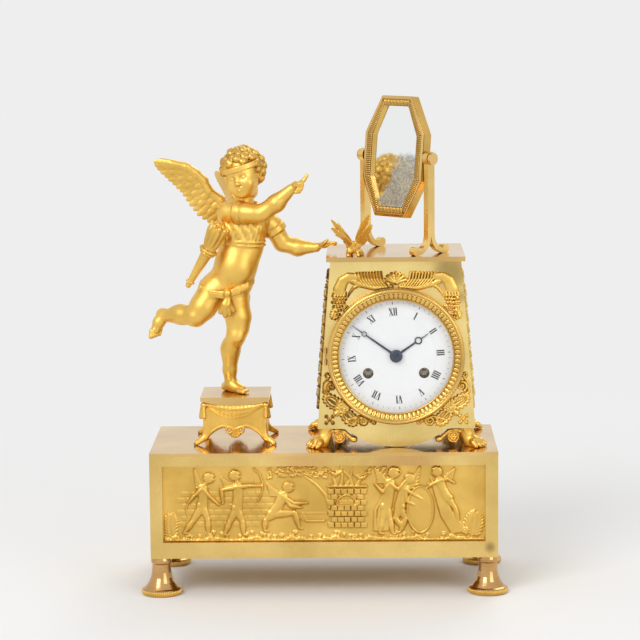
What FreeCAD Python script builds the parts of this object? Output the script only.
import FreeCAD, Part
import math
import os

# Mantel clock in gilt bronze, in millimetres.
# The origin is on the surface the clock stands on, at the middle of the base.
# +X is to the right of someone facing the dial, -Y is the front, +Z is up.

# ---- driving dimensions: base ----
base_width = 260.0
base_depth = 114.0
base_height = 80.0
foot_height = 28.5
foot_radius = 14.8
foot_inset_x = 7.3
foot_inset_y = 8.2
plate_wall = 3.0
front_frame_wall = 4.0
base_top_thickness = 2.5
window_margin_side = 9.4
window_margin_top = 9.8
window_margin_bottom = 12.2
frieze_thickness = 2.0
frieze_relief = 3.0
stud_radius = 2.0

# ---- driving dimensions: clock case ----
case_x = 54.7
case_front_y = -36.5
case_depth = 80.5
case_bottom_width = 118.5
case_top_width = 97.5
case_leg_height = 14.3
case_height = 126.7
apron_radius = 60.0
apron_gap = 0.5
slab_thickness = 3.5
slab_overhang_side = 2.9
slab_overhang_front = 5.5
slab_overhang_back = 6.0
dial_height_on_case = 55.2

# ---- driving dimensions: dial, bezel and hands ----
bezel_radius = 51.25
sight_radius = 42.5
bezel_depth = 7.0
dial_radius = 44.5
dial_opening_radius = 46.0
dial_thickness = 1.5
winding_offset_x = 21.0
winding_drop = 13.2
winding_hole_radius = 4.0
hour_hand_length = 29.6
minute_hand_length = 40.6
hand_thickness = 0.5
glass_thickness = 1.2

# ---- driving dimensions: movement ----
movement_radius = 39.0
movement_plate = 2.0
movement_gap = 34.0
gear_module = 0.5
cannon_teeth = 10
minute_wheel_teeth = 30
minute_pinion_teeth = 8
hour_wheel_teeth = 32
barrel_radius = 13.0
pendulum_length = 84.0
bob_radius = 13.0
bell_radius = 26.0

# ---- driving dimensions: mirror ----
mirror_height = 91.0
mirror_width = 61.5
mirror_top_edge = 30.5
mirror_side_edge = 35.0
mirror_depth = 7.4
mirror_border = 7.6
mirror_turn = 45.0
mirror_lean = 5.7
mirror_pivot_height = 71.5
mirror_x = 56.4
mirror_y = 0.0
post_width = 7.0
post_thickness = 4.5
post_head_radius = 5.3
scroll_radius = 13.0
scroll_end_radius = 3.4

# ---- driving dimensions: stool and figure ----
stool_x = -67.3
stool_y = 0.5
stool_width = 52.0
stool_depth = 50.0
stool_height = 36.6
stool_top_thickness = 3.2
stool_leg_height = 17.0

# ---- clearances ----
running = 0.05
joint_gap = 0.3
side_gap = 0.3

# ---- heights and planes worked out from the sizes above ----
base_bottom = foot_height
base_top = foot_height + base_height
half_width = base_width / 2
half_depth = base_depth / 2
panel_top = base_top - base_top_thickness
case_bottom = base_top + case_leg_height
case_top = case_bottom + case_height
slab_top = case_top + slab_thickness
case_back_y = case_front_y + case_depth
case_inner_front = case_front_y + plate_wall
case_inner_back = case_back_y - plate_wall
dial_z = case_bottom + dial_height_on_case
dial_front_y = case_front_y + 0.9
dial_back_y = dial_front_y + dial_thickness
dial_plate_back_y = dial_back_y + 1.5
movement_front_y = dial_plate_back_y + 5.0
movement_back_y = movement_front_y + movement_plate + movement_gap
winding_z = dial_z - winding_drop
stool_top = base_top + stool_height
mirror_z = slab_top + mirror_pivot_height
suspension_z = dial_z + 34.0
pendulum_y = movement_back_y + movement_plate + 10.0
gear_distance = gear_module * (cannon_teeth + minute_wheel_teeth) / 2


# ---- small building functions ----
def vec(x, y, z):
    return FreeCAD.Vector(x, y, z)


X_AXIS = vec(1, 0, 0)
Y_AXIS = vec(0, 1, 0)
Z_AXIS = vec(0, 0, 1)


def box(x0, x1, y0, y1, z0, z1):
    """A block between two corners."""
    return Part.makeBox(x1 - x0, y1 - y0, z1 - z0, vec(x0, y0, z0))


def rod(start, end, radius):
    """A round bar from one point to another."""
    span = end.sub(start)
    return Part.makeCylinder(radius, span.Length, start, span)


def disc(x, z, y0, y1, radius):
    """A round plate that faces the front, from y0 to y1."""
    return Part.makeCylinder(radius, y1 - y0, vec(x, y0, z), Y_AXIS)


def ring(x, z, y0, y1, outer, inner):
    """A flat ring that faces the front."""
    return disc(x, z, y0, y1, outer).cut(disc(x, z, y0 - 1, y1 + 1, inner))


def join(first, *others):
    """One solid out of several that meet or overlap."""
    return first.fuse(list(others)).removeSplitter()


def upright_prism(points, y0, y1):
    """An outline drawn in X and Z, drawn out from y0 to y1."""
    corners = [vec(x, y0, z) for x, z in points]
    face = Part.Face(Part.makePolygon(corners + corners[:1]))
    return face.extrude(vec(0, y1 - y0, 0))


def turned(profile):
    """A solid turned about the Z axis from an outline of radius and height."""
    corners = [vec(radius, 0, z) for radius, z in profile]
    face = Part.Face(Part.makePolygon(corners + corners[:1]))
    return face.revolve(vec(0, 0, 0), Z_AXIS, 360)


def turned_to_front(profile, x, z):
    """A solid turned about a line along Y from an outline of radius and Y."""
    shape = turned([(radius, -y) for radius, y in profile])
    shape.rotate(vec(0, 0, 0), X_AXIS, 90)
    shape.translate(vec(x, 0, z))
    return shape


def limb(start, end, start_radius, end_radius):
    """A tapered bar with round ends, such as an arm."""
    span = end.sub(start).Length
    slant = math.sqrt(0.5)
    outline = Part.Wire([
        Part.makeLine(vec(0, 0, -start_radius), vec(0, 0, span + end_radius)),
        Part.Arc(vec(0, 0, span + end_radius),
                 vec(end_radius * slant, 0, span + end_radius * slant),
                 vec(end_radius, 0, span)).toShape(),
        Part.makeLine(vec(end_radius, 0, span), vec(start_radius, 0, 0)),
        Part.Arc(vec(start_radius, 0, 0),
                 vec(start_radius * slant, 0, -start_radius * slant),
                 vec(0, 0, -start_radius)).toShape(),
    ])
    shape = Part.Face(outline).revolve(vec(0, 0, 0), Z_AXIS, 360)
    shape.Placement = FreeCAD.Placement(start, FreeCAD.Rotation(Z_AXIS, end.sub(start)))
    return shape


def gear(teeth, x, z, y0, y1, bore, turn=0.0):
    """A spur gear with slim teeth, so that a pair runs with free play."""
    pitch_radius = gear_module * teeth / 2
    root = pitch_radius - 1.15 * gear_module
    tip = pitch_radius + 0.85 * gear_module
    step = 2 * math.pi / teeth
    points = []
    for tooth in range(teeth):
        middle = tooth * step + turn
        for radius, share in ((root, -0.24), (tip, -0.09), (tip, 0.09), (root, 0.24)):
            angle = middle + share * step
            points.append((x + radius * math.cos(angle), z + radius * math.sin(angle)))
    return upright_prism(points, y0, y1).cut(disc(x, z, y0 - 1, y1 + 1, bore))


def save(name, *solids):
    """Write one node as a STEP file."""
    shape = solids[0] if len(solids) == 1 else Part.makeCompound(list(solids))
    shape.exportStep(os.path.join("parts", name + ".step"))
    print(name, len(shape.Solids), round(shape.Volume, 1), shape.isValid())


# ---- base: a box of plates on turned feet ----
def make_base():
    window = box(
        -half_width + window_margin_side, half_width - window_margin_side,
        -half_depth - 1, -half_depth + front_frame_wall + 1,
        base_bottom + window_margin_bottom, base_top - window_margin_top)
    frame_back = -half_depth + front_frame_wall
    front = box(-half_width, half_width, -half_depth, frame_back, base_bottom, panel_top)
    save("base_front_frame", front.cut(window))

    back_inner = half_depth - plate_wall
    ends = [box(-half_width, -half_width + plate_wall, frame_back, back_inner, base_bottom, panel_top),
            box(half_width - plate_wall, half_width, frame_back, back_inner, base_bottom, panel_top)]
    save("base_ends", *ends)
    save("base_back_panel",
         box(-half_width, half_width, back_inner, half_depth, base_bottom, panel_top))

    top = box(-half_width, half_width, -half_depth, half_depth, panel_top, base_top)
    save("base_top_plate", top.cut(case_screws() + stool_pins()))

    floor_top = base_bottom + plate_wall
    blocks = []
    studs = []
    feet = []
    for side_x in (-1, 1):
        for side_y in (-1, 1):
            x = side_x * (half_width - foot_inset_x)
            y = side_y * (half_depth - foot_inset_y)
            feet.append((x, y))
            x_outer = side_x * (half_width - plate_wall)
            x_inner = side_x * (half_width - foot_inset_x - 3 * stud_radius)
            y_outer = side_y * (half_depth - plate_wall)
            if side_y < 0:
                y_outer = frame_back + frieze_thickness
            y_inner = side_y * (half_depth - foot_inset_y - 4 * stud_radius)
            block = box(min(x_outer, x_inner), max(x_outer, x_inner),
                        min(y_outer, y_inner), max(y_outer, y_inner), floor_top, panel_top)
            stud = rod(vec(x, y, foot_height - 6), vec(x, y, floor_top + 14), stud_radius * 0.8)
            hole = rod(vec(x, y, floor_top - 1), vec(x, y, floor_top + 14), stud_radius * 0.8)
            blocks.append(block.cut(hole))
            studs.append(stud)

    floor = box(-half_width + plate_wall, half_width - plate_wall,
                frame_back, back_inner, base_bottom, floor_top)
    floor_holes = [rod(vec(x, y, base_bottom - 1), vec(x, y, floor_top + 1), stud_radius * 0.8)
                   for x, y in feet]
    floor_holes.append(box(-half_width, half_width, frame_back - 1, frame_back + frieze_thickness,
                           base_bottom - 1, floor_top + 1))
    save("base_floor", floor.cut(floor_holes), *blocks)
    save("fixing_studs", *studs, *case_screws(), *stool_pins(), *figure_stud())

    save("feet", *[turned_foot(x, y) for x, y in feet])

    medallions = []
    for side in (-1, 1):
        start = side * half_width
        pad = Part.makeCylinder(19.0, 2.2, vec(start, 0, base_bottom + base_height * 0.54), vec(side, 0, 0))
        medallions.append(pad)
    save("base_end_mounts", *medallions)
    make_frieze(frame_back)


def turned_foot(x, y):
    """A bell foot: a rimmed disc, a flared bell and a small collar."""
    profile = [
        (0, 0), (foot_radius - 0.8, 0), (foot_radius, 0.8), (foot_radius, 4.0), (foot_radius - 0.7, 4.7),
        (foot_radius - 2.2, 5.4), (11.4, 7.0), (9.6, 9.6), (8.2, 13.0), (7.4, 17.0), (7.0, 21.0),
        (6.9, 23.4), (7.8, 24.4), (7.9, 26.4), (7.4, foot_height), (0, foot_height)]
    foot = turned(profile)
    foot.translate(vec(x, y, 0))
    stud_hole = rod(vec(x, y, foot_height - 6), vec(x, y, foot_height + 1), stud_radius * 0.8)
    return foot.cut(stud_hole)


def make_frieze(frame_back):
    """The cast relief plaque: a plate behind the window with low figures on its face."""
    low_x = -half_width + plate_wall + 0.5
    plate = box(low_x, -low_x, frame_back, frame_back + frieze_thickness,
                base_bottom + 2.0, panel_top - 2.0)
    ground_z = base_bottom + window_margin_bottom
    window_height = base_top - window_margin_top - ground_z
    rise = window_height / 58.0
    relief = [
        box(-half_width + window_margin_side + side_gap, half_width - window_margin_side - side_gap,
            frame_back - frieze_relief * 0.5, frame_back, ground_z + side_gap, ground_z + 5.0 * rise),
        box(1.0, 31.0, frame_back - frieze_relief * 0.6, frame_back, ground_z + 4.0 * rise, ground_z + 40.0 * rise),
        Part.makeCylinder(16.0 * rise, frieze_relief * 0.5, vec(72.0, frame_back, ground_z + 24.0 * rise),
                          vec(0, -1, 0)),
    ]
    for x, lean in ((-89.0, 3.0), (-66.0, -3.0), (-28.0, 7.0), (48.0, -2.0)):
        foot = vec(x, frame_back, ground_z + 6.0 * rise)
        hip = vec(x + lean, frame_back, ground_z + 24.0 * rise)
        neck = vec(x - lean * 0.5, frame_back, ground_z + 42.0 * rise)
        figure = join(limb(foot, hip, 2.0, 2.9), limb(hip, neck, 2.9, 2.4),
                      limb(neck, neck.add(vec(0, 0, 4.0 * rise)), 2.8, 2.8))
        relief.append(figure)
    plaque = join(plate, *relief)
    keep = box(-half_width, half_width, frame_back - frieze_relief, frame_back + frieze_thickness,
               base_bottom, panel_top)
    save("frieze_plaque", plaque.common(keep))


# ---- stool and winged child ----
def stool_corners():
    """Where each stool leg starts under the seat and where its tip stands."""
    half_x = stool_width / 2
    half_y = stool_depth / 2
    return [(side_x, stool_x + side_x * (half_x - 5.5), stool_y + side_y * (half_y - 5.5),
             stool_x + side_x * (half_x + 4.5), stool_y + side_y * (half_y - 1.0))
            for side_x in (-1, 1) for side_y in (-1, 1)]


def stool_pins():
    """Pins that hold the four leg tips to the base."""
    return [rod(vec(x, y, panel_top - 2), vec(x, y, base_top + 2), 0.8)
            for side_x, top_x, top_y, x, y in stool_corners()]


def figure_stud():
    """The bolt down through the figure's foot and the stool, and its nut."""
    body_bottom = base_top + stool_leg_height
    bolt = rod(vec(stool_x, stool_y, body_bottom - 4), vec(stool_x, stool_y, stool_top + 5), stud_radius)
    nut = rod(vec(stool_x, stool_y, body_bottom - 3), vec(stool_x, stool_y, body_bottom), stud_radius * 2.2)
    return [bolt, nut.cut(bolt)]


def make_stool():
    half_x = stool_width / 2
    half_y = stool_depth / 2
    plate_bottom = stool_top - stool_top_thickness
    body_bottom = base_top + stool_leg_height
    stud = figure_stud()[0]
    top = box(stool_x - half_x, stool_x + half_x, stool_y - half_y, stool_y + half_y, plate_bottom, stool_top)
    save("stool_top", top.cut(stud))
    body = box(stool_x - half_x + 2, stool_x + half_x - 2, stool_y - half_y + 2, stool_y + half_y - 2,
               body_bottom, plate_bottom)
    save("stool_body", body.cut(stud))

    legs = []
    keep = box(stool_x - 60, stool_x + 60, stool_y - 60, stool_y + 60, base_top, body_bottom)
    for side_x, top_x, top_y, foot_x, foot_y in stool_corners():
        bend = vec(top_x + side_x * 1.5, top_y, base_top + 9)
        leg = join(limb(vec(top_x, top_y, body_bottom), bend, 3.4, 2.6),
                   limb(bend, vec(foot_x, foot_y, base_top), 2.6, 1.6))
        legs.append(leg.common(keep).cut(stool_pins()))
    save("stool_legs", *legs)

    drapes = []
    for side_y in (-1, 1):
        face = stool_y + side_y * (half_y - 2)
        drapes.append(box(stool_x - 18, stool_x + 18, min(face, face + side_y * 1.6),
                          max(face, face + side_y * 1.6), body_bottom + 3, plate_bottom - 4))
    save("stool_drapery", *drapes)



def make_figure():
    """A running winged child, in plain limbs, cast in several pieces."""
    sole = stool_top
    ankle = vec(-73.0, 4.0, sole + 7.5)
    standing_knee = vec(-68.5, -2.0, sole + 42.5)
    left_hip = vec(-66.0, 2.0, 216.0)
    right_hip = vec(-83.0, -3.0, 222.0)
    raised_knee = vec(-95.5, -8.0, 203.5)
    raised_ankle = vec(-124.0, 8.0, 202.5)
    pelvis = vec(-74.5, 0.0, 226.0)
    waist = vec(-64.5, 0.0, 248.0)
    chest = vec(-58.5, -1.0, 270.0)
    neck = vec(-57.2, 0.0, 291.0)
    body_keep = box(-200, 200, -100, 100, sole, 400)
    body = join(
        limb(vec(-77.0, 8.5, sole + 3.0), vec(-60.0, -6.0, sole + 2.0), 4.4, 3.2),
        limb(vec(-74.5, 5.5, sole + 4.0), ankle, 4.4, 4.4),
        limb(ankle, standing_knee, 4.4, 6.2),
        limb(standing_knee, left_hip, 6.4, 10.5),
        limb(vec(-127.5, 8.0, 199.5), vec(-128.5, 6.5, 189.0), 4.0, 2.8),
        limb(raised_ankle, raised_knee, 4.2, 6.6),
        limb(raised_knee, right_hip, 6.8, 11.0),
        limb(pelvis, waist, 15.5, 13.6),
        limb(waist, chest, 13.6, 13.8),
        limb(vec(-69.5, -3.0, 279.5), vec(-47.0, 3.0, 277.0), 8.0, 7.5),
        limb(chest, neck, 9.0, 7.0))
    save("putto_body", body.common(body_keep).cut(figure_stud()[0]))

    neck_top = 296.5
    keep_head = box(-200, 200, -100, 100, neck_top, 400)
    head = join(limb(vec(-59.8, -2.0, 312.5), vec(-58.8, -1.0, 315.5), 17.0, 17.6),
                limb(vec(-59.5, -6.0, 305.0), vec(-59.3, -8.0, 303.0), 10.5, 9.5))
    save("putto_head", head.common(keep_head).cut(body))

    right_arm = join(limb(vec(-66.0, -12.0, 284.5), vec(-46.0, -20.0, 284.8), 7.3, 6.6),
                     limb(vec(-46.0, -20.0, 284.8), vec(-23.6, -24.0, 303.5), 6.6, 3.9),
                     limb(vec(-23.6, -24.0, 303.5), vec(-15.5, -25.0, 308.0), 4.0, 4.4),
                     limb(vec(-15.0, -25.0, 309.5), vec(-11.0, -26.0, 313.0), 1.6, 1.2))
    save("putto_right_arm", right_arm.cut(body.fuse(head)))
    left_arm = join(limb(vec(-40.0, 6.5, 275.5), vec(-30.5, 8.0, 256.0), 7.2, 6.2),
                    limb(vec(-30.5, 8.0, 256.0), vec(-5.5, 0.5, 257.0), 6.2, 4.0),
                    limb(vec(-5.5, 0.5, 257.0), vec(1.0, -2.0, 260.0), 3.8, 3.8),
                    limb(vec(1.0, -2.0, 260.5), vec(9.0, -5.0, 262.2), 2.0, 1.5))
    save("putto_left_arm", left_arm.cut(body))

    near_outline = [(-72.0, 287.0), (-80.0, 292.0), (-86.0, 303.0), (-97.0, 315.0), (-111.0, 320.5),
                    (-127.0, 322.5), (-119.0, 309.0), (-106.0, 296.5), (-99.0, 286.0), (-88.0, 274.0),
                    (-74.0, 268.0)]
    near_wing = upright_prism(near_outline, 0, 2.6)
    near_wing.rotate(vec(-72.0, 0, 285.0), Z_AXIS, -14)
    near_wing.translate(vec(0, 10.0, 0))
    far_outline = [(0.0, 272.0), (0.0, 288.0), (10.0, 300.0), (22.0, 309.0), (38.0, 315.0), (52.0, 316.0),
                   (44.0, 303.0), (32.0, 291.0), (20.0, 280.0), (10.0, 273.0)]
    far_wing = upright_prism(far_outline, 0, 2.6)
    far_wing.rotate(vec(0, 0, 285.0), Z_AXIS, 112)
    far_wing.translate(vec(-58.0, 7.0, 0))
    save("wings", near_wing.cut(body).Solids[0], far_wing.cut(body).Solids[0])

    quiver = join(rod(vec(-101.0, -10.0, 231.5), vec(-88.5, -14.0, 255.5), 4.2),
                  rod(vec(-89.5, -13.7, 253.5), vec(-86.5, -14.6, 259.5), 6.6),
                  rod(vec(-86.5, -14.6, 259.5), vec(-80.6, -16.5, 271.0), 6.0),
                  limb(vec(-102.0, -9.7, 229.6), vec(-101.0, -10.0, 231.5), 2.8, 2.8),
                  limb(vec(-87.5, -14.3, 257.5), vec(-66.0, -6.0, 254.0), 2.0, 2.0))
    save("quiver", quiver.cut(body).Solids[0])


# ---- clock case ----
def case_half_width(z):
    """Half the width of the tapered case at a height."""
    share = (z - case_bottom) / case_height
    return (case_bottom_width + (case_top_width - case_bottom_width) * share) / 2


def case_outline(inset=0.0):
    low = case_half_width(case_bottom) - inset
    high = case_half_width(case_top) - inset
    return [(case_x - low, case_bottom), (case_x + low, case_bottom),
            (case_x + high, case_top), (case_x - high, case_top)]


def paw_centres():
    """Where the four legs of the case stand on the base."""
    reach = case_half_width(case_bottom) - 6.5
    return [(case_x + side * reach, y) for y in (case_front_y + 7.0, case_back_y - 7.0)
            for side in (-1, 1)]


def case_screws():
    """Screws up through the base into the four legs of the case."""
    return [join(rod(vec(x, y, panel_top - 2), vec(x, y, base_top + 6), stud_radius),
                 rod(vec(x, y, panel_top - 4), vec(x, y, panel_top), stud_radius * 1.8))
            for x, y in paw_centres()]


def make_case():
    apron_centre = base_top + apron_gap + apron_radius
    below_case = box(case_x - apron_radius, case_x + apron_radius, case_front_y, case_inner_front,
                     base_top, case_bottom)
    apron = disc(case_x, apron_centre, case_front_y, case_inner_front, apron_radius).common(below_case)
    front = join(upright_prism(case_outline(), case_front_y, case_inner_front), apron)
    opening = disc(case_x, dial_z, case_front_y - 1, case_inner_front + 1, dial_opening_radius)
    save("case_front_plate", front.cut(opening))

    back = upright_prism(case_outline(), case_inner_back, case_back_y)
    door_hole = disc(case_x, dial_z, case_inner_back - 1, case_back_y + 1, dial_opening_radius - 4)
    save("case_back_plate", back.cut(door_hole))

    sides = []
    for side in (-1, 1):
        points = [(case_x + side * case_half_width(case_bottom), case_bottom),
                  (case_x + side * case_half_width(case_top), case_top),
                  (case_x + side * (case_half_width(case_top) - plate_wall), case_top),
                  (case_x + side * (case_half_width(case_bottom) - plate_wall), case_bottom)]
        sides.append(upright_prism(points, case_inner_front, case_inner_back))
    save("case_sides", *sides)

    reach = case_half_width(case_top) + slab_overhang_side
    save("case_top_slab", box(case_x - reach, case_x + reach, case_front_y - slab_overhang_front,
                              case_back_y + slab_overhang_back, case_top, slab_top))

    paws = []
    for x, y in paw_centres():
        side_x = 1 if x > case_x else -1
        side_y = 1 if y > 0 else -1
        paws.append(lion_paw(x, y, side_x, side_y).cut(case_screws()))
    save("lion_paws", *paws)
    make_case_mounts()


def lion_paw(x, y, side_x, side_y):
    """A leg that ends in a lion's paw turned outwards, with a small scroll behind it."""
    leg = limb(vec(x, y, case_bottom + 2), vec(x + side_x * 2, y + side_y * 3, base_top + 5), 6.0, 5.2)
    paw = limb(vec(x + side_x * 2, y + side_y * 2, base_top + 3), vec(x + side_x * 8, y + side_y * 6, base_top + 3),
               5.2, 4.8)
    toes = [limb(vec(x + side_x * 8, y + side_y * 6, base_top + 2.4),
                 vec(x + side_x * (8 + out), y + side_y * (6 + ahead), base_top + 2.2), 2.6, 2.3)
            for out, ahead in ((6.2, 0.6), (4.6, 3.6), (0.2, 5.4))]
    scroll = box(min(x, x - side_x * 17), max(x, x - side_x * 17), y - 2, y + 2, case_bottom - 4, case_bottom)
    curl = disc(x - side_x * 17, case_bottom - 5, y - 2.5, y + 2.5, 4.4)
    keep = box(x - 40, x + 40, y - 30, y + 30, base_top, case_bottom)
    return join(leg, paw, scroll, curl, *toes).common(keep)


def make_case_mounts():
    """Low cast mounts on the front plate and fruit drops on the sides."""
    clear_of_bezel = disc(case_x, dial_z, case_front_y - 20, case_front_y + 1, bezel_radius + 2 * joint_gap)
    corners = []
    for side in (-1, 1):
        points = [(case_x + side * 57.0, case_bottom + 2.5), (case_x + side * 22.0, case_bottom + 2.5),
                  (case_x + side * 22.0, case_bottom + 9.0), (case_x + side * 44.0, case_bottom + 30.0),
                  (case_x + side * 49.5, case_bottom + 41.0), (case_x + side * 53.5, case_bottom + 41.0)]
        corners.append(upright_prism(points, case_front_y - 2.0, case_front_y).cut(clear_of_bezel))
    save("corner_mounts", *corners)

    top_points = [(case_x - 30.0, case_top - 6.0), (case_x + 30.0, case_top - 6.0),
                  (case_x + 41.0, case_top - 12.0), (case_x + 48.0, case_top - 24.0),
                  (case_x + 49.0, case_top - 40.0), (case_x + 38.0, case_top - 34.0),
                  (case_x + 26.0, case_top - 22.0), (case_x - 26.0, case_top - 22.0),
                  (case_x - 38.0, case_top - 34.0), (case_x - 49.0, case_top - 40.0),
                  (case_x - 48.0, case_top - 24.0), (case_x - 41.0, case_top - 12.0)]
    top_mount = upright_prism(top_points, case_front_y - 2.2, case_front_y).cut(clear_of_bezel)
    save("cornucopia_mounts", *top_mount.Solids)

    middle_y = (case_front_y + case_back_y) / 2
    drops = []
    for side in (-1, 1):
        low = case_bottom + 8.0
        high = case_top - 8.0
        points = [(case_x + side * case_half_width(low), low), (case_x + side * case_half_width(high), high),
                  (case_x + side * (case_half_width(high) + 3.6), high),
                  (case_x + side * (case_half_width(low) + 3.6), low)]
        drops.append(upright_prism(points, middle_y - 20.0, middle_y + 20.0))
    save("side_drops", *drops)


# ---- bezel, dial and hands ----
def make_dial():
    ring_back = case_front_y - joint_gap
    ring_front = ring_back - bezel_depth
    profile = [(sight_radius, ring_back), (bezel_radius, ring_back), (bezel_radius, ring_back - 3.6),
               (bezel_radius - 0.8, ring_front + 0.8), (bezel_radius - 1.8, ring_front),
               (bezel_radius - 3.0, ring_front + 0.5), (bezel_radius - 3.6, ring_front + 1.6),
               (sight_radius + 0.6, ring_back - 4.0), (sight_radius, ring_back - 4.0)]
    glass_front = ring_back - 3.6
    groove = disc(case_x, dial_z, glass_front, glass_front + glass_thickness, sight_radius + 1.0)
    hinge_x = case_x - bezel_radius - 1.5
    hinge_y = ring_back - 1.2
    knuckle = 1.15
    leaf = box(hinge_x, case_x - bezel_radius + 1.2, hinge_y - 0.7, hinge_y + 0.7, dial_z - 2.0, dial_z + 2.0)
    middle = rod(vec(hinge_x, hinge_y, dial_z - 2.0), vec(hinge_x, hinge_y, dial_z + 2.0), knuckle)
    pin_hole = rod(vec(hinge_x, hinge_y, dial_z - 9), vec(hinge_x, hinge_y, dial_z + 9), 0.5 + running)
    tab = box(case_x + bezel_radius - 0.6, case_x + bezel_radius + 1.8, ring_back - 2.6, ring_back - 1.2,
              dial_z - 3.0, dial_z + 3.0)
    bezel = join(turned_to_front(profile, case_x, dial_z), leaf, middle, tab)
    save("bezel_ring", bezel.cut([groove, pin_hole]))
    save("dial_glass", groove)

    knuckles = []
    for side in (-1, 1):
        near = dial_z + side * (2.0 + joint_gap)
        far = dial_z + side * 6.5
        low = min(near, far)
        high = max(near, far)
        barrel = rod(vec(hinge_x, hinge_y, low), vec(hinge_x, hinge_y, high), knuckle)
        foot = box(hinge_x - 1.0, hinge_x + 0.8, hinge_y, case_front_y, low, high)
        knuckles.append(join(barrel, foot))
    pin = rod(vec(hinge_x, hinge_y, dial_z - 6.5), vec(hinge_x, hinge_y, dial_z + 6.5), 0.5)
    bezel_hinge = join(knuckles[0], knuckles[1], pin)
    save("hinges", bezel_hinge, rear_door_hinge())

    holes = [disc(case_x, dial_z, dial_front_y - 1, dial_plate_back_y + 1, 2.9)]
    for side in (-1, 1):
        holes.append(disc(case_x + side * winding_offset_x, winding_z, dial_front_y - 1,
                          dial_plate_back_y + 1, winding_hole_radius))
    save("enamel_dial", disc(case_x, dial_z, dial_front_y, dial_back_y, dial_radius).cut(holes))
    backing = disc(case_x, dial_z, dial_back_y, dial_plate_back_y, dial_opening_radius - side_gap)
    save("dial_plate", backing.cut(holes))
    eyelets = [ring(case_x + side * winding_offset_x, winding_z, dial_front_y, dial_plate_back_y,
                    winding_hole_radius, winding_hole_radius - 0.5) for side in (-1, 1)]
    save("winding_eyelets", *eyelets)


def hand(length, hub_radius, ring_from_tip, ring_radius, y0, y1, bore, clock_angle):
    """A slim steel hand with a hollow ring near its tip."""
    base_half = 0.95
    stem = upright_prism([(-base_half, 0), (base_half, 0), (0.5, length - ring_from_tip),
                          (0.14, length), (-0.14, length), (-0.5, length - ring_from_tip)], y0, y1)
    eye_z = length - ring_from_tip
    shape = join(stem, disc(0, 0, y0, y1, hub_radius), disc(0, eye_z, y0, y1, ring_radius))
    shape = shape.cut([disc(0, eye_z, y0 - 1, y1 + 1, ring_radius * 0.7), disc(0, 0, y0 - 1, y1 + 1, bore)])
    shape.rotate(vec(0, 0, 0), Y_AXIS, clock_angle)
    shape.translate(vec(case_x, 0, dial_z))
    return shape


def make_hands():
    """Hands, their pipes and the three wheels that drive the hour hand from the minute hand."""
    hour_back = dial_front_y - 0.4
    hour_front = hour_back - hand_thickness
    minute_back = hour_front - 0.4
    minute_front = minute_back - hand_thickness
    collet_front = minute_front - 0.6
    arbor_radius = 1.0
    cannon_radius = 1.6
    hour_pipe_radius = 2.4
    save("hour_hand", hand(hour_hand_length, 4.0, 9.4, 2.8, hour_front, hour_back, hour_pipe_radius, 55.5))
    save("minute_hand", hand(minute_hand_length, 4.4, 11.4, 2.0, minute_front, minute_back, cannon_radius, -54.7))
    collet = ring(case_x, dial_z, collet_front, minute_front, 4.7, arbor_radius)

    plane_b_front = dial_plate_back_y + 0.5
    plane_b_back = plane_b_front + 1.4
    plane_a_front = plane_b_back + 0.6
    plane_a_back = plane_a_front + 1.4
    half_tooth = math.pi / minute_wheel_teeth
    hour_wheel = join(gear(hour_wheel_teeth, case_x, dial_z, plane_b_front, plane_b_back,
                           cannon_radius + running, math.pi / 2),
                      ring(case_x, dial_z, hour_front, plane_b_front, hour_pipe_radius, cannon_radius + running))
    save("hour_wheel", hour_wheel)
    cannon = join(gear(cannon_teeth, case_x, dial_z, plane_a_front, plane_a_back, arbor_radius, math.pi / 2),
                  ring(case_x, dial_z, minute_front, plane_a_front, cannon_radius, arbor_radius))
    save("cannon_pinion", cannon)
    arbor = join(disc(case_x, dial_z, collet_front - 0.6, movement_back_y + movement_plate, arbor_radius),
                 gear(60, case_x, dial_z, movement_back_y - 10, movement_back_y - 8.6, 0.8))
    save("centre_arbor", arbor, collet)

    axis_z = dial_z + gear_distance
    wheel = gear(minute_wheel_teeth, case_x, axis_z, plane_a_front, plane_a_back, 0.6 + running,
                 -math.pi / 2 + half_tooth)
    pinion = gear(minute_pinion_teeth, case_x, axis_z, plane_b_front, plane_a_front, 0.6 + running,
                  -math.pi / 2 + math.pi / minute_pinion_teeth)
    save("minute_wheel", join(wheel, pinion))


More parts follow.
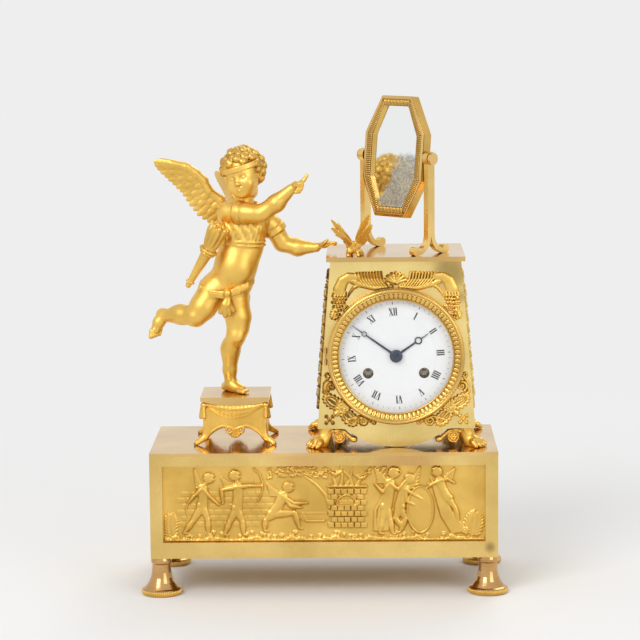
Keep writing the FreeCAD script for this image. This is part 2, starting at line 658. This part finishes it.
# ---- movement ----
def make_movement():
    front_y0 = movement_front_y
    front_y1 = movement_front_y + movement_plate
    back_y0 = movement_back_y
    back_y1 = movement_back_y + movement_plate
    left = case_x - winding_offset_x
    right = case_x + winding_offset_x
    escape_z = suspension_z - 13.5
    hammer_x = case_x - 22.0
    hammer_z = dial_z - 30.0
    count_x = case_x - 22.0
    count_z = dial_z + 14.0

    pivots = [(case_x, dial_z, 1.0), (left, winding_z, 2.0), (right, winding_z, 2.0),
              (case_x, escape_z, 0.8), (case_x, suspension_z, 0.9), (hammer_x, hammer_z, 1.0),
              (count_x, count_z, 1.0)]
    holes = [disc(x, z, front_y0 - 1, back_y1 + 1, radius + running) for x, z, radius in pivots]
    save("movement_plates", disc(case_x, dial_z, front_y0, front_y1, movement_radius).cut(holes),
         disc(case_x, dial_z, back_y0, back_y1, movement_radius).cut(holes))

    pillars = []
    dial_feet = []
    for angle in (28, 152, 250, 290):
        x = case_x + (movement_radius - 4.5) * math.cos(math.radians(angle))
        z = dial_z + (movement_radius - 4.5) * math.sin(math.radians(angle))
        pillars.append(disc(x, z, front_y1, back_y0, 2.2))
        dial_feet.append(disc(x, z, dial_plate_back_y, front_y0, 1.2))
    wheel_stud = disc(case_x, dial_z + gear_distance, dial_plate_back_y + 0.5, front_y0, 0.6)
    save("movement_pillars", wheel_stud, *pillars, *dial_feet)

    straps = []
    for side in (-1, 1):
        outer = side * (dial_opening_radius + 0.5)
        inner = side * (dial_opening_radius - 4.5)
        x0 = case_x + min(outer, inner)
        x1 = case_x + max(outer, inner)
        bar = box(x0, x1, case_inner_front, case_inner_back, dial_z - 4, dial_z + 4)
        clip = box(min(case_x + side * (movement_radius - 3), case_x + outer),
                   max(case_x + side * (movement_radius - 3), case_x + outer),
                   back_y1, back_y1 + 2.0, dial_z - 4, dial_z + 4)
        straps.append(join(bar.cut(disc(case_x, dial_z, case_inner_front - 1, dial_plate_back_y + 0.01,
                                        dial_opening_radius - side_gap)), clip))
    save("movement_straps", *straps)

    for name, x in (("going_barrel", left), ("strike_barrel", right)):
        drum_front = front_y1 + 2.0
        drum_back = back_y0 - 12.0
        drum = disc(x, winding_z, drum_front, drum_back, barrel_radius - 1.2)
        rim = disc(x, winding_z, drum_back - 2.0, drum_back, barrel_radius)
        shaft = disc(x, winding_z, front_y0 - 0.5, back_y1, 2.0)
        square = box(x - 1.4, x + 1.4, dial_front_y + 0.6, front_y0, winding_z - 1.4, winding_z + 1.4)
        save(name, join(drum, rim, shaft, square))

    wheel_y = back_y0 - 5.0
    teeth = 30
    wheel_radius = 8.0
    points = []
    for tooth in range(teeth):
        angle = 2 * math.pi * tooth / teeth
        points.append((case_x + wheel_radius * math.cos(angle), escape_z + wheel_radius * math.sin(angle)))
        angle = 2 * math.pi * (tooth + 0.45) / teeth
        points.append((case_x + (wheel_radius - 1.4) * math.cos(angle),
                       escape_z + (wheel_radius - 1.4) * math.sin(angle)))
    escape = join(upright_prism(points, wheel_y, wheel_y + 1.2),
                  disc(case_x, escape_z, front_y0 + 0.2, back_y1, 0.8),
                  disc(case_x, escape_z, front_y1 + 4, front_y1 + 9, 1.6))
    save("escape_wheel", escape)

    arm_points = [(case_x - 1.6, suspension_z + 2.2), (case_x + 1.6, suspension_z + 2.2),
                  (case_x + 11.0, suspension_z - 7.0), (case_x + 11.5, suspension_z - 13.0),
                  (case_x + 9.6, suspension_z - 13.0), (case_x + 8.8, suspension_z - 7.0),
                  (case_x, suspension_z - 2.4), (case_x - 8.8, suspension_z - 7.0),
                  (case_x - 9.6, suspension_z - 13.0), (case_x - 11.5, suspension_z - 13.0),
                  (case_x - 11.0, suspension_z - 7.0)]
    anchor_clear = disc(case_x, escape_z, wheel_y - 1, wheel_y + 3, wheel_radius + 3 * joint_gap)
    anchor = join(upright_prism(arm_points, wheel_y, wheel_y + 1.2).cut(anchor_clear),
                  disc(case_x, suspension_z, front_y0 + 0.2, back_y1 + 3.0, 0.9))
    crutch_y = back_y1 + 1.4
    fork_z = suspension_z - 24.0
    prongs = [box(case_x + side * 1.2 - (1.0 if side < 0 else 0), case_x + side * 1.2 + (1.0 if side > 0 else 0),
                  crutch_y, pendulum_y + 2.0, fork_z - 1.2, fork_z + 1.2) for side in (-1, 1)]
    bridge = box(case_x - 2.2, case_x + 2.2, crutch_y, crutch_y + 1.4, fork_z - 1.2, fork_z + 1.2)
    crutch = join(box(case_x - 0.8, case_x + 0.8, crutch_y, crutch_y + 1.4, fork_z, suspension_z + 1.6),
                  disc(case_x, suspension_z, crutch_y, crutch_y + 1.4, 2.0), bridge, *prongs)
    crutch = crutch.cut(disc(case_x, suspension_z, crutch_y - 1, crutch_y + 3, 0.9))
    save("anchor_and_crutch", anchor, crutch)

    pin_radius = 0.7
    cock = join(box(case_x - 6, case_x + 6, back_y1, back_y1 + 1.2, suspension_z - 1 - 6 + 7.5, suspension_z + 6.5),
                box(case_x - 4, case_x + 4, back_y1 + 1.2, pendulum_y + 3.5, suspension_z + 3.5, suspension_z + 6.5),
                box(case_x - 4, case_x + 4, pendulum_y + 1.9, pendulum_y + 3.5, suspension_z - 2, suspension_z + 3.5),
                disc(case_x, suspension_z, pendulum_y - 1.6, pendulum_y + 1.9, pin_radius))
    cock = cock.cut(disc(case_x, suspension_z, back_y1 - 1, back_y1 + 4.0, 2.4))
    save("suspension_cock", cock)
    bob_z = suspension_z - pendulum_length
    rod_top = suspension_z - 1.4
    pendulum_rod = join(rod(vec(case_x, pendulum_y, bob_z), vec(case_x, pendulum_y, rod_top), 0.8),
                        ring(case_x, suspension_z, pendulum_y - 1.0, pendulum_y + 1.0, 2.0, pin_radius + running))
    bob = turned_to_front([(0, pendulum_y - 4), (bob_radius * 0.6, pendulum_y - 3.2), (bob_radius, pendulum_y),
                           (bob_radius * 0.6, pendulum_y + 3.2), (0, pendulum_y + 4)], case_x, bob_z)
    save("pendulum", pendulum_rod.cut(bob), bob)

    bell_x = case_x + 9.0
    bell_z = dial_z - 6.0
    mouth_y = pendulum_y + 5.5
    bell_depth = 10.0
    profile = [(bell_radius, mouth_y), (bell_radius - 1.5, mouth_y + 5.0), (bell_radius * 0.7, mouth_y + bell_depth - 1),
               (0, mouth_y + bell_depth), (0, mouth_y + bell_depth - 1.5),
               (bell_radius * 0.66, mouth_y + bell_depth - 2.4), (bell_radius - 2.9, mouth_y + 4.4),
               (bell_radius - 1.4, mouth_y)]
    bell = turned_to_front(profile, bell_x, bell_z)
    stand_top = mouth_y + bell_depth - 1.5
    save("bell", bell, disc(bell_x, bell_z, back_y1, stand_top, 1.8).cut(bell))

    head_x = bell_x - bell_radius - 3.6
    hammer = join(disc(hammer_x, hammer_z, front_y0 + 0.2, mouth_y + 2.4, 1.0),
                  upright_prism([(hammer_x - 0.8, hammer_z), (hammer_x + 0.8, hammer_z),
                                 (head_x + 0.8, bell_z), (head_x - 0.8, bell_z)], mouth_y + 1.0, mouth_y + 2.4),
                  disc(head_x, bell_z, mouth_y, mouth_y + 4.0, 3.0))
    save("hammer", hammer)

    count = ring(count_x, count_z, back_y1 + 0.8, back_y1 + 2.0, 13.0, 1.0)
    notches = []
    for turn in (0, 30, 75, 125, 180, 240, 305):
        angle = math.radians(turn)
        x = count_x + 13.0 * math.cos(angle)
        z = count_z + 13.0 * math.sin(angle)
        notches.append(disc(x, z, back_y1, back_y1 + 3, 1.2))
    save("count_wheel", join(count.cut(notches), disc(count_x, count_z, front_y0 + 0.2, back_y1 + 2.4, 1.0)))


# ---- rear door ----
def make_rear_door():
    door_radius = dial_opening_radius
    near = case_back_y + joint_gap
    far = near + 2.2
    hinge_x = case_x + door_radius + 1.6
    hinge_y = near + 1.2
    knuckle = 1.15
    pin_hole = rod(vec(hinge_x, hinge_y, dial_z - 9), vec(hinge_x, hinge_y, dial_z + 9), 0.5 + running)
    leaf = box(case_x + door_radius - 1.5, hinge_x, hinge_y - 0.7, hinge_y + 0.7, dial_z - 2, dial_z + 2)
    middle = rod(vec(hinge_x, hinge_y, dial_z - 2), vec(hinge_x, hinge_y, dial_z + 2), knuckle)
    knob = disc(case_x - door_radius + 6.0, dial_z, far, far + 4.0, 2.5)
    door = join(disc(case_x, dial_z, near, far, door_radius), leaf, middle, knob)
    save("rear_door", door.cut(pin_hole))


def rear_door_hinge():
    """The two fixed knuckles and the pin of the rear door's hinge."""
    hinge_x = case_x + dial_opening_radius + 1.6
    hinge_y = case_back_y + joint_gap + 1.2
    knuckle = 1.15
    knuckles = []
    for side in (-1, 1):
        low = min(dial_z + side * (2.0 + joint_gap), dial_z + side * 6.5)
        high = max(dial_z + side * (2.0 + joint_gap), dial_z + side * 6.5)
        barrel = rod(vec(hinge_x, hinge_y, low), vec(hinge_x, hinge_y, high), knuckle)
        foot = box(hinge_x - 0.8, hinge_x + 1.0, case_back_y, hinge_y, low, high)
        knuckles.append(join(barrel, foot))
    pin = rod(vec(hinge_x, hinge_y, dial_z - 6.5), vec(hinge_x, hinge_y, dial_z + 6.5), 0.5)
    return join(knuckles[0], knuckles[1], pin)


# ---- mirror and butterfly ----
def place_mirror(shape, lean=True):
    """Move a shape from the mirror's own frame (width along X, face to -Y) to its place."""
    if lean:
        shape.rotate(vec(0, 0, 0), X_AXIS, -mirror_lean)
    shape.rotate(vec(0, 0, 0), Z_AXIS, -mirror_turn)
    shape.translate(vec(mirror_x, mirror_y, mirror_z))
    return shape


def octagon(inset, y0, y1):
    """The mirror's outline, drawn in by an inset."""
    half_x = mirror_width / 2 - inset
    half_z = mirror_height / 2 - inset
    corner = math.tan(math.radians(26.0)) * inset
    top = mirror_top_edge / 2 - corner * 0.55
    side = mirror_side_edge / 2 - corner * 0.45
    points = [(top, half_z), (half_x, side), (half_x, -side), (top, -half_z),
              (-top, -half_z), (-half_x, -side), (-half_x, side), (-top, half_z)]
    return upright_prism(points, y0, y1)


def make_mirror():
    half = mirror_depth / 2
    pin_radius = 1.5
    frame = octagon(0, -half, half).cut(octagon(mirror_border, -half - 1, half - 3.4))
    frame = frame.cut(octagon(mirror_border - 2.0, -half + 2.4, half + 1))
    pin_start = mirror_width / 2 - 5.0
    post_centre = mirror_width / 2 + joint_gap + 0.2 + post_thickness / 2
    post_outer = post_centre + post_thickness / 2
    pins = []
    for side in (-1, 1):
        shaft = rod(vec(side * pin_start, 0, 0), vec(side * (post_outer + joint_gap), 0, 0), pin_radius)
        cap = rod(vec(side * (post_outer + joint_gap), 0, 0), vec(side * (post_outer + joint_gap + 2.2), 0, 0),
                  post_head_radius - 0.8)
        pins.append(join(shaft, cap))
    save("mirror_frame", place_mirror(frame.cut(pins)))
    save("mirror_pivot_screws", *[place_mirror(pin) for pin in pins])
    glass = octagon(mirror_border - 2.0, -half + 2.4, -half + 4.0)
    save("mirror_glass", place_mirror(glass))
    save("mirror_back", place_mirror(octagon(mirror_border - 2.0, -half + 4.0, half - 0.6)))

    slab = slab_top - mirror_z
    arm = post_thickness * 0.4
    arm_centre = arm + scroll_radius
    posts = []
    for side in (-1, 1):
        x0 = side * post_centre - post_thickness / 2
        x1 = side * post_centre + post_thickness / 2
        bar = box(x0, x1, -post_width / 2, post_width / 2, slab + scroll_radius + arm, 0)
        head = rod(vec(x0, 0, 0), vec(x1, 0, 0), post_head_radius)
        pieces = [head]
        for way in (-1, 1):
            centre_y = way * arm_centre
            centre_z = slab + arm + scroll_radius
            curve = rod(vec(x0, centre_y, centre_z), vec(x1, centre_y, centre_z), scroll_radius + arm)
            hollow = rod(vec(x0 - 1, centre_y, centre_z), vec(x1 + 1, centre_y, centre_z), scroll_radius - arm)
            quarter = box(x0, x1, min(0, centre_y), max(0, centre_y), slab, centre_z)
            pieces.append(curve.cut(hollow).common(quarter))
            end_y = centre_y + way * 1.2
            pieces.append(rod(vec(x0, end_y, slab + scroll_end_radius), vec(x1, end_y, slab + scroll_end_radius),
                              scroll_end_radius))
        post = join(bar, *pieces)
        bore = rod(vec(x0 - 1, 0, 0), vec(x1 + 1, 0, 0), pin_radius + running)
        posts.append(place_mirror(post.cut(bore), lean=False))
    save("mirror_posts", *posts)


def make_butterfly():
    """A butterfly on the slab with both wings raised."""
    body = join(limb(vec(22.0, -37.0, slab_top + 4.5), vec(26.5, -25.0, slab_top + 8.5), 2.4, 2.0),
                limb(vec(20.5, -38.5, slab_top + 5.0), vec(21.0, -38.0, slab_top + 5.2), 2.0, 2.0))
    legs = [rod(vec(x, y, slab_top), vec(23.5, -33.0, slab_top + 5.5), 0.7)
            for x, y in ((19.5, -36.5), (27.0, -36.5), (19.5, -30.0), (28.5, -30.0))]
    keep = box(0, 60, -60, 0, slab_top, slab_top + 60)
    save("butterfly_body", join(body, *legs).common(keep))
    solid = body.common(keep)
    wings = []
    for tips in (((7.0, -31.0, 27.0), (5.0, -24.0, 21.0), (17.0, -20.0, 7.5)),
                 ((35.0, -33.0, 31.5), (38.0, -24.0, 24.0), (33.0, -19.0, 9.0))):
        roots = (vec(22.4, -35.0, slab_top + 7.0), vec(26.0, -25.5, slab_top + 9.6))
        corners = [roots[0]] + [vec(x, y, slab_top + z) for x, y, z in tips] + [roots[1]]
        normal = corners[1].sub(corners[0]).cross(corners[3].sub(corners[0]))
        normal.normalize()
        flat = []
        for corner in corners:
            offset = corner.sub(corners[0]).dot(normal)
            flat.append(corner.sub(vec(normal.x * offset, normal.y * offset, normal.z * offset)))
        face = Part.Face(Part.makePolygon(flat + flat[:1]))
        wing = face.extrude(vec(normal.x * 1.2, normal.y * 1.2, normal.z * 1.2))
        wings.append(wing.cut([solid] + wings).Solids[0])
    save("butterfly_wings", *wings)


os.makedirs("parts", exist_ok=True)
make_base()
make_stool()
make_figure()
make_case()
make_dial()
make_hands()
make_movement()
make_rear_door()
make_mirror()
make_butterfly()
print(len(os.listdir("parts")), "nodes")
